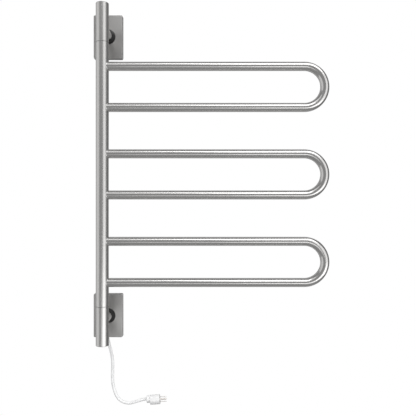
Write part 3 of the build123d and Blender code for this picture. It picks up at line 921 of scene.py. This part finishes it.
def moulded(name, spec):
    # plastic, rubber and paint: a fine moulded grain in the bump, slow variation in gloss and tint
    constants = {"Metallic": 0.0, "IOR": spec.get("ior", 1.5)}
    material, tree, shader = newMaterial(name, **constants)
    places = objectPlaces(tree)
    fine = grainNoise(tree, scaled(tree, places, (spec["grain"],) * 3), 3.0)
    clouds = grainNoise(tree, scaled(tree, places, (spec["clouds"],) * 3), 3.0)
    tree.links.new(tinted(tree, spec["color"], clouds, spec["tint"]), shader.inputs["Base Color"])
    rough = shifted(tree, clouds, spec["rough"] - spec["spread"], spec["rough"] + spec["spread"])
    tree.links.new(rough, shader.inputs["Roughness"])
    bump = {"Height": fine, "Strength": spec["bump"], "Distance": 0.05 * mm}
    tree.links.new(addNode(tree, "ShaderNodeBump", bump).outputs[0], shader.inputs["Normal"])
    return material


def plated(name, spec):
    # plated or turned metal: crystal patches of tint and gloss under a fine grain
    material, tree, shader = newMaterial(name, Metallic=spec.get("metal", 1.0))
    places = objectPlaces(tree)
    cells = addNode(
        tree, "ShaderNodeTexVoronoi", {"Vector": scaled(tree, places, (spec["cells"],) * 3), "Scale": 1.0}
    ).outputs["Color"]
    patch = addNode(tree, "ShaderNodeSeparateColor", {"Color": cells}).outputs[0]
    fine = grainNoise(tree, scaled(tree, places, (spec["grain"],) * 3), 4.0)
    tree.links.new(tinted(tree, spec["color"], patch, spec["tint"]), shader.inputs["Base Color"])
    rough = shifted(tree, patch, spec["rough"] - spec["spread"], spec["rough"] + spec["spread"])
    tree.links.new(rough, shader.inputs["Roughness"])
    bump = {"Height": fine, "Strength": spec["bump"], "Distance": 0.02 * mm}
    tree.links.new(addNode(tree, "ShaderNodeBump", bump).outputs[0], shader.inputs["Normal"])
    return material


steel = (0.60, 0.594, 0.586)
brushedFinishes = {
    "brushed_post": {
        "color": steel, "rough": 0.27, "spread": 0.012, "tint": 0.02, "stretch": 0.35, "tangent": "Z",
        "grain": (1500, 1500, 2.5), "clouds": 30, "bump": 0.025,
    },
    "polished_bar": {
        "color": steel, "rough": 0.18, "spread": 0.005, "tint": 0.015, "stretch": 0.2, "tangent": "flow",
        "grain": (1200, 1.6, 1), "clouds": 12, "bump": 0.006,
    },
    "brushed_standoff": {
        "color": steel, "rough": 0.42, "spread": 0.03, "tint": 0.04, "stretch": 0.75, "turn": 0.25,
        "tangent": "Y", "grain": (60, 2400, 60), "clouds": 30, "bump": 0.15,
    },
    "brushed_cap": {
        "color": steel, "rough": 0.3, "spread": 0.05, "tint": 0.05, "stretch": 0.0, "tangent": "Z",
        "grain": (2200, 40, 1), "clouds": 40, "bump": 0.25,
    },
    "turned_steel": {
        "color": (0.58, 0.58, 0.58), "rough": 0.3, "spread": 0.06, "tint": 0.05, "stretch": 0.3,
        "tangent": "Z", "grain": (60, 60, 3000), "clouds": 40, "bump": 0.2,
    },
}
coverFinish = {
    "color": (0.55, 0.544, 0.536), "rough": 0.36, "spread": 0.05, "tint": 0.06, "stretch": 0.6,
    "turn": 0.25, "sideRough": 0.17, "tangent": "Y", "grain": (2200, 2.2), "clouds": 18, "bump": 0.2,
}
mouldedFinishes = {
    "white_vinyl": {"color": (0.81, 0.812, 0.815), "rough": 0.4, "spread": 0.03, "tint": 0.012,
                    "grain": 1800, "clouds": 90, "bump": 0.03},
    "cord_vinyl": {"color": (0.86, 0.862, 0.865), "rough": 0.33, "spread": 0.03, "tint": 0.012,
                   "grain": 1200, "clouds": 70, "bump": 0.02},
    "clamp_nylon": {"color": (0.80, 0.80, 0.78), "rough": 0.45, "spread": 0.05, "tint": 0.03, "grain": 1500,
                    "clouds": 80, "bump": 0.3},
    "lead_sheath": {"color": (0.84, 0.84, 0.83), "rough": 0.4, "spread": 0.05, "tint": 0.02, "grain": 1500,
                    "clouds": 60, "bump": 0.2},
    "heater_sheath": {"color": (0.62, 0.22, 0.15), "rough": 0.5, "spread": 0.06, "tint": 0.06,
                      "grain": 1400, "clouds": 60, "bump": 0.3},
    "splice_nylon": {"color": (0.72, 0.68, 0.56), "rough": 0.45, "spread": 0.05, "tint": 0.04,
                     "grain": 1400, "clouds": 90, "bump": 0.3},
    "wire_sleeve": {"color": (0.82, 0.82, 0.82), "rough": 0.5, "spread": 0.05, "tint": 0.03, "grain": 1400,
                    "clouds": 60, "bump": 0.3},
    "cutout_body": {"color": (0.12, 0.10, 0.09), "rough": 0.4, "spread": 0.06, "tint": 0.1, "grain": 1600,
                    "clouds": 80, "bump": 0.3},
    "white_nylon": {"color": (0.84, 0.83, 0.80), "rough": 0.42, "spread": 0.05, "tint": 0.02, "grain": 1500,
                    "clouds": 80, "bump": 0.25},
    "dark_nylon": {"color": (0.16, 0.16, 0.162), "rough": 0.5, "spread": 0.05, "tint": 0.1, "grain": 1500,
                   "clouds": 80, "bump": 0.3},
    "black_collar": {"color": (0.009, 0.009, 0.0095), "rough": 0.42, "spread": 0.06, "tint": 0.12,
                     "grain": 2200, "clouds": 90, "bump": 0.35},
    "black_rubber": {"color": (0.018, 0.018, 0.018), "rough": 0.62, "spread": 0.05, "tint": 0.1,
                     "grain": 1800, "clouds": 80, "bump": 0.4},
}
platedFinishes = {
    "plated_steel": {"color": (0.62, 0.625, 0.64), "rough": 0.33, "spread": 0.07, "tint": 0.06,
                     "cells": 260, "grain": 1500, "bump": 0.25},
    "screw_steel": {"color": (0.5, 0.5, 0.51), "rough": 0.28, "spread": 0.05, "tint": 0.05, "cells": 900,
                    "grain": 2400, "bump": 0.2},
    "brass": {"color": (0.72, 0.54, 0.25), "rough": 0.3, "spread": 0.06, "tint": 0.06, "cells": 700,
              "grain": 2000, "bump": 0.2},
    "plated_brass": {"color": (0.90, 0.86, 0.82), "rough": 0.3, "spread": 0.04, "tint": 0.03, "cells": 600,
                     "grain": 2200, "bump": 0.02, "metal": 0.6},
}
finishes = {name: brushedMetal(name, spec) for name, spec in brushedFinishes.items()}
finishes |= {name: moulded(name, spec) for name, spec in mouldedFinishes.items()}
finishes |= {name: plated(name, spec) for name, spec in platedFinishes.items()}
for side in ("upper", "lower"):
    centered = dict(coverFinish, center=(0, 0, -bracketZ[side]))
    finishes[side + "_cover"] = brushedMetal("brushed_cover_" + side, centered)


def paintAll():
    # CAD nodes keep their slot's name, and new pieces name theirs
    for node in frame["nodes"].values():
        for slot in node.material_slots:
            name = slot.material.name.split(".")[0]
            if name not in finishes:
                name = node.name.split("_")[1] + "_cover"
            slot.material = finishes[name]
    for piece in scene.objects:
        if "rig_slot" in piece:
            name = piece["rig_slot"]
            if name not in finishes:
                name = piece.name[:5] + "_cover"
            piece.data.materials.clear()
            piece.data.materials.append(finishes[name])


paintAll()
print("materials made:", len(finishes))


# stage: a pale floor that fades into a white surround, and soft light

stage = {
    "center": (0.26, -0.1),
    "level": -0.95,
    "radius": 6.0,
    "fadeFrom": 0.2,
    "fadeTo": 0.85,
    "glow": 0.6,
}


def addFloor():
    v = stage
    a = angles(96)
    radius = np.array([0.0, 0.4, 0.8, 1.2, 2.0, 3.0, v["radius"]])[:, None]
    x, y = v["center"][0] + radius * np.cos(a), v["center"][1] + radius * np.sin(a)
    points = np.stack([x, y, v["level"] + 0 * x], axis=-1)
    mesh = gridMesh("floor", points, wrapRows=False)
    floor = bpy.data.objects.new("floor", mesh)
    scene.collection.objects.link(floor)
    material, tree, shader = newMaterial("floorPaint", Roughness=0.9)
    shader.inputs["Base Color"].default_value = (0.9, 0.9, 0.9, 1)
    places = scaled(tree, objectPlaces(tree), (1, 1, 0), (-v["center"][0], -v["center"][1], 0))
    away = addNode(tree, "ShaderNodeVectorMath", {0: places}, operation="LENGTH").outputs["Value"]
    fade = {"Value": away, "From Min": v["fadeFrom"], "From Max": v["fadeTo"], "To Min": v["glow"]}
    fade = addNode(tree, "ShaderNodeMapRange", fade, interpolation_type="SMOOTHSTEP").outputs[0]
    glow = addNode(tree, "ShaderNodeEmission", {"Strength": 1.0}).outputs[0]
    mix = addNode(tree, "ShaderNodeMixShader", {0: fade, 1: shader.outputs[0], 2: glow})
    tree.links.new(mix.outputs[0], tree.nodes["Material Output"].inputs["Surface"])
    mesh.materials.append(material)
    floor.visible_glossy = False
    floor.visible_diffuse = False
    floor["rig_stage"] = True


addFloor()

# each light: azimuth (0 is the camera's side, + towards +X) and elevation ranges in degrees, brightness
lights = {
    "topFront": {"azimuth": (-4, 70), "elevation": (33, 68), "bright": 2.1, "shine": True},
    "topLeft": {"azimuth": (-34, -5), "elevation": (33, 66), "bright": 0.7, "shine": True},
    "rightStrip": {"azimuth": (25, 73), "elevation": (-32, 30), "bright": 0.88, "shine": True},
    "lowRight": {"azimuth": (5, 68), "elevation": (-34, -9), "bright": 0.65, "shine": True},
    "lowCard": {"azimuth": (-12, 40), "elevation": (-32, -14.5), "bright": 0.6, "shine": True},
    "leftSoft": {"azimuth": (-108, -47), "elevation": (-30, 32), "bright": 0.5, "shine": True},
    "fill": {"azimuth": (-40, 40), "elevation": (20, 75), "bright": 1.4, "shine": False},
}
lightAt = {"center": (0.2, -0.09, 0.0), "distance": 6.0}
surround = {"front": 0.36, "back": 0.62, "rightBack": 0.35, "backEdge": 0.3}


def addLight(name, spec):
    middleA = radians(sum(spec["azimuth"]) / 2)
    middleE = radians(sum(spec["elevation"]) / 2)
    halfA = radians(spec["azimuth"][1] - spec["azimuth"][0]) / 2
    halfE = radians(spec["elevation"][1] - spec["elevation"][0]) / 2
    wide = 2 * lightAt["distance"] * tan(halfA) * cos(middleE)
    tall = 2 * lightAt["distance"] * tan(halfE)
    data = bpy.data.lights.new(name, "AREA")
    data.shape = "RECTANGLE"
    data.size, data.size_y = wide, tall
    data.energy = spec["bright"] * pi * wide * tall
    out = Vector((sin(middleA) * cos(middleE), -cos(middleA) * cos(middleE), sin(middleE)))
    light = bpy.data.objects.new(name, data)
    light.location = Vector(lightAt["center"]) + lightAt["distance"] * out
    light.rotation_euler = (-out).to_track_quat("-Z", "Y").to_euler()
    light.visible_camera = False
    light.visible_glossy = spec["shine"]
    scene.collection.objects.link(light)


def addSurround():
    # white where the camera looks past the object, and for all else soft greys by direction: lighter
    # behind, darker behind on the right, and darker straight behind where it is above or below
    v = surround
    world = bpy.data.worlds.new("surround")
    world.use_nodes = True
    tree = world.node_tree
    direction = addNode(tree, "ShaderNodeTexCoord", {}).outputs["Generated"]
    xyz = addNode(tree, "ShaderNodeSeparateXYZ", {"Vector": direction}).outputs
    height = addNode(tree, "ShaderNodeMath", {0: xyz["Z"]}, operation="ABSOLUTE").outputs[0]

    def ramp(value, start, end, low, high):
        limits = {"Value": value, "From Min": start, "From Max": end, "To Min": low, "To Max": high}
        return addNode(tree, "ShaderNodeMapRange", limits, interpolation_type="SMOOTHSTEP").outputs[0]

    def dimmed(value, first, second, share):
        # value times 1 - (1 - share) a b
        both = addNode(tree, "ShaderNodeMath", {0: first, 1: second}, operation="MULTIPLY").outputs[0]
        factor = shifted(tree, both, 1.0, share)
        return addNode(tree, "ShaderNodeMath", {0: value, 1: factor}, operation="MULTIPLY").outputs[0]

    grey = ramp(xyz["Y"], 0.1, 0.75, v["front"], v["back"])
    grey = dimmed(grey, ramp(xyz["X"], 0.3, 0.8, 0, 1), ramp(xyz["Y"], -0.15, 0.4, 0, 1), v["rightBack"])
    grey = dimmed(grey, ramp(height, 0.06, 0.2, 0, 1), ramp(xyz["Y"], 0.7, 0.88, 0, 1), v["backEdge"])
    soft = addNode(tree, "ShaderNodeBackground", {"Color": (1, 1, 1, 1), "Strength": grey}).outputs[0]
    white = addNode(tree, "ShaderNodeBackground", {"Color": (1, 1, 1, 1), "Strength": 1.0}).outputs[0]
    seen = addNode(tree, "ShaderNodeLightPath", {}).outputs["Is Camera Ray"]
    mix = addNode(tree, "ShaderNodeMixShader", {0: seen, 1: soft, 2: white})
    tree.links.new(mix.outputs[0], tree.nodes["World Output"].inputs["Surface"])
    scene.world = world


for name, spec in lights.items():
    addLight(name, spec)
addSurround()
scene.view_settings.view_transform = "Standard"
print("stage and lights made")

low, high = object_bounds()
